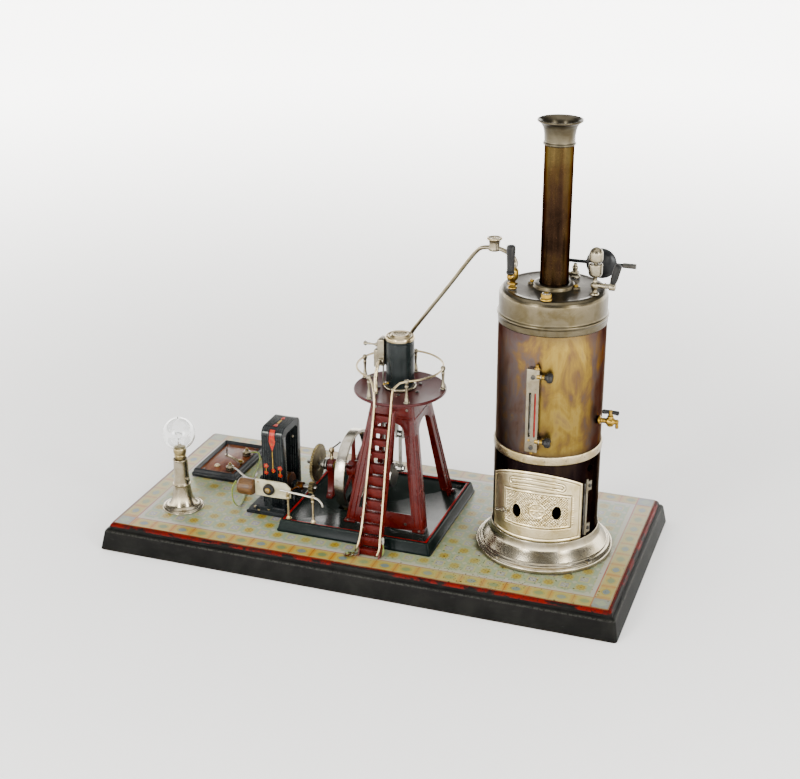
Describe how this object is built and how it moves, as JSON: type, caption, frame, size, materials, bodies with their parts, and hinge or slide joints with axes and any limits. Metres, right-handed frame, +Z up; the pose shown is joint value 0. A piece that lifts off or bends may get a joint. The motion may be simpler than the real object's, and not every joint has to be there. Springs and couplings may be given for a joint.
{
  "type": "model steam engine",
  "caption": "Toy steam plant: upright boiler with chimney, engine on a tower, geared dynamo, switchboard and lamp on a printed base.",
  "frame": {"origin": "middle of the base's underside", "axes": "+X along the base towards the boiler, +Y to the back, +Z up"},
  "size_m": [0.56, 0.2672, 0.4704],
  "materials": {
    "black_lacquer": "satin lacquer, worn at the edges",
    "printed_tin": "printed and varnished tinplate",
    "tray_enamel": "gloss enamel with red lining",
    "maroon_enamel": "gloss enamel",
    "nickel": "worn satin nickel plate",
    "heated_brass": "heat-tinted polished brass",
    "burnt_brass": "dark heat-tinted brass",
    "brass": "worn brass",
    "steel": "plain steel",
    "flywheel_iron": "nickelled rim and maroon spokes",
    "black_enamel": "gloss enamel",
    "black_iron": "black japanned iron",
    "black_wood": "black stained turned wood",
    "brown_fibre": "turned vulcanised fibre",
    "cream_card": "cream insulating card",
    "board_panel": "brown mottled panel",
    "glass": "clear blown glass",
    "white_lead": "white covered wire",
    "green_lead": "green cotton covered wire"
  },
  "bodies": {
    "plant": {"base_box": "black_lacquer", "printed_plate": "printed_tin", "engine_tray": "tray_enamel", "tray_rail": "nickel", "tower_frame": "maroon_enamel", "main_bearing": "maroon_enamel", "platform": "maroon_enamel", "platform_railing": "nickel", "ladder": "maroon_enamel", "cylinder": "black_enamel", "cylinder_cap": "nickel", "valve_chest": "nickel", "bearing_standard": "maroon_enamel", "dynamo_base": "black_enamel", "field_magnet": "black_enamel", "brush_plate": "cream_card", "brush_knob": "brown_fibre", "lead_front": "white_lead", "lead_rear": "green_lead", "switchboard_frame": "black_lacquer", "switchboard_panel": "board_panel", "lamp_column": "nickel", "boiler_foot": "nickel", "firebox_shell": "burnt_brass", "spirit_burner": "brass", "boiler_drum": "heated_brass", "boiler_cap": "nickel", "chimney": "burnt_brass", "chimney_crown": "nickel", "stop_valve": "brass", "steam_pipe": "nickel", "whistle": "nickel", "safety_valve": "nickel", "gauge_frame": "nickel", "gauge_glass": "glass", "drain_cock": "brass"},
    "crank": {"crankshaft": "steel", "flywheel": "flywheel_iron", "drive_gear": "brass"},
    "conrod": {"connecting_rod": "steel"},
    "eccentric_link": {"eccentric_rod": "steel"},
    "armature": {"armature": "brass"},
    "piston": {"piston": "steel"},
    "slide_valve": {"valve_rod": "steel"},
    "oil_cock": {"oil_cock": "nickel"},
    "switch": {"switch_lever": "brass"},
    "front_terminal": {"terminal_front": "nickel"},
    "rear_terminal": {"terminal_rear": "nickel"},
    "bulb": {"bulb": "glass"},
    "fire_door": {"firebox_door": "nickel"},
    "fire_door_latch": {"door_latch": "nickel"},
    "filler": {"filler_plug": "nickel"},
    "stop_handle": {"stop_valve_handle": "black_wood"},
    "whistle_handle": {"whistle_tap": "black_wood"},
    "valve_lever": {"safety_lever": "black_iron"},
    "lever_weight": {"safety_weight": "black_iron"},
    "upper_cock": {"gauge_cock_upper": "black_wood"},
    "lower_cock": {"gauge_cock_lower": "black_wood"},
    "drain_handle": {"drain_cock_handle": "black_wood"},
    "cup_lid": {"lubricator_lid": "nickel"}
  },
  "joints": [
    {"name": "crank_turn", "type": "hinge", "parent": "plant", "child": "crank", "pos_m": [-0.04, 0, 0.0738], "axis": [1, 0, 0], "continuous": true},
    {"name": "conrod_swing", "type": "hinge", "parent": "crank", "child": "conrod", "pos_m": [0.014, 0, 0.0828], "axis": [1, 0, 0], "continuous": true},
    {"name": "eccentric_swing", "type": "hinge", "parent": "crank", "child": "eccentric_link", "pos_m": [-0.0045, 0, 0.0768], "axis": [1, 0, 0], "continuous": true},
    {"name": "armature_turn", "type": "hinge", "parent": "plant", "child": "armature", "pos_m": [-0.1, -0.0175, 0.052], "axis": [1, 0, 0], "continuous": true},
    {"name": "piston_stroke", "type": "slide", "parent": "plant", "child": "piston", "axis": [0, 0, 1], "range_m": [-0.018, 0]},
    {"name": "valve_travel", "type": "slide", "parent": "plant", "child": "slide_valve", "axis": [0, 0, 1], "range_m": [-0.006, 0]},
    {"name": "oil_cock_turn", "type": "hinge", "parent": "plant", "child": "oil_cock", "pos_m": [-0.0091, -0.004, 0.222], "axis": [1, 0, 0], "range_deg": [0, 90]},
    {"name": "switch_swing", "type": "hinge", "parent": "plant", "child": "switch", "pos_m": [-0.195, 0.04, 0.0382], "axis": [0, 0, 1], "range_deg": [0, 52]},
    {"name": "front_terminal_turn", "type": "hinge", "parent": "plant", "child": "front_terminal", "pos_m": [-0.2, 0.023, 0.0355], "axis": [0, 0, 1], "range_deg": [0, 360]},
    {"name": "rear_terminal_turn", "type": "hinge", "parent": "plant", "child": "rear_terminal", "pos_m": [-0.199, 0.065, 0.0355], "axis": [0, 0, 1], "range_deg": [0, 360]},
    {"name": "bulb_turn", "type": "hinge", "parent": "plant", "child": "bulb", "pos_m": [-0.2153, -0.0628, 0.1], "axis": [0, 0, 1], "range_deg": [0, 720]},
    {"name": "fire_door_swing", "type": "hinge", "parent": "plant", "child": "fire_door", "pos_m": [0.22233, -0.04038, 0.095], "axis": [0, 0, 1], "range_deg": [0, 110]},
    {"name": "door_latch_turn", "type": "hinge", "parent": "fire_door", "child": "fire_door_latch", "pos_m": [0.14353, -0.05691, 0.083], "axis": [-0.5664, -0.8241, 0], "range_deg": [0, 90]},
    {"name": "filler_turn", "type": "hinge", "parent": "plant", "child": "filler", "pos_m": [0.1793, -0.054, 0.3086], "axis": [0, 0, 1], "range_deg": [0, 720]},
    {"name": "stop_valve_turn", "type": "hinge", "parent": "plant", "child": "stop_handle", "pos_m": [0.14, -0.0388, 0.3226], "axis": [0, -1, 0], "range_deg": [0, 90]},
    {"name": "whistle_tap_turn", "type": "hinge", "parent": "plant", "child": "whistle_handle", "pos_m": [0.2328, -0.024, 0.3181], "axis": [1, 0, 0], "range_deg": [0, 75]},
    {"name": "safety_lever_lift", "type": "hinge", "parent": "plant", "child": "valve_lever", "pos_m": [0.1758, 0.0215, 0.3255], "axis": [0, -1, 0], "range_deg": [0, 12]},
    {"name": "safety_weight_slide", "type": "slide", "parent": "valve_lever", "child": "lever_weight", "axis": [1, 0, 0], "range_m": [-0.006, 0.005]},
    {"name": "upper_cock_turn", "type": "hinge", "parent": "plant", "child": "upper_cock", "pos_m": [0.1843, -0.0685, 0.236], "axis": [1, 0, 0], "range_deg": [0, 90]},
    {"name": "lower_cock_turn", "type": "hinge", "parent": "plant", "child": "lower_cock", "pos_m": [0.1843, -0.0685, 0.1685], "axis": [1, 0, 0], "range_deg": [0, 90]},
    {"name": "drain_cock_turn", "type": "hinge", "parent": "plant", "child": "drain_handle", "pos_m": [0.24035, -0.022, 0.1858], "axis": [0, 0, 1], "range_deg": [0, 90]},
    {"name": "cup_lid_turn", "type": "hinge", "parent": "plant", "child": "cup_lid", "pos_m": [0.1194, -0.025, 0.3518], "axis": [0, 0, 1], "range_deg": [0, 720]}
  ],
  "couplings": [
    {"joint": "conrod_swing", "follows": "crank_turn", "ratio": -1},
    {"joint": "eccentric_swing", "follows": "crank_turn", "ratio": -1},
    {"joint": "armature_turn", "follows": "crank_turn", "ratio": -3}
  ]
}
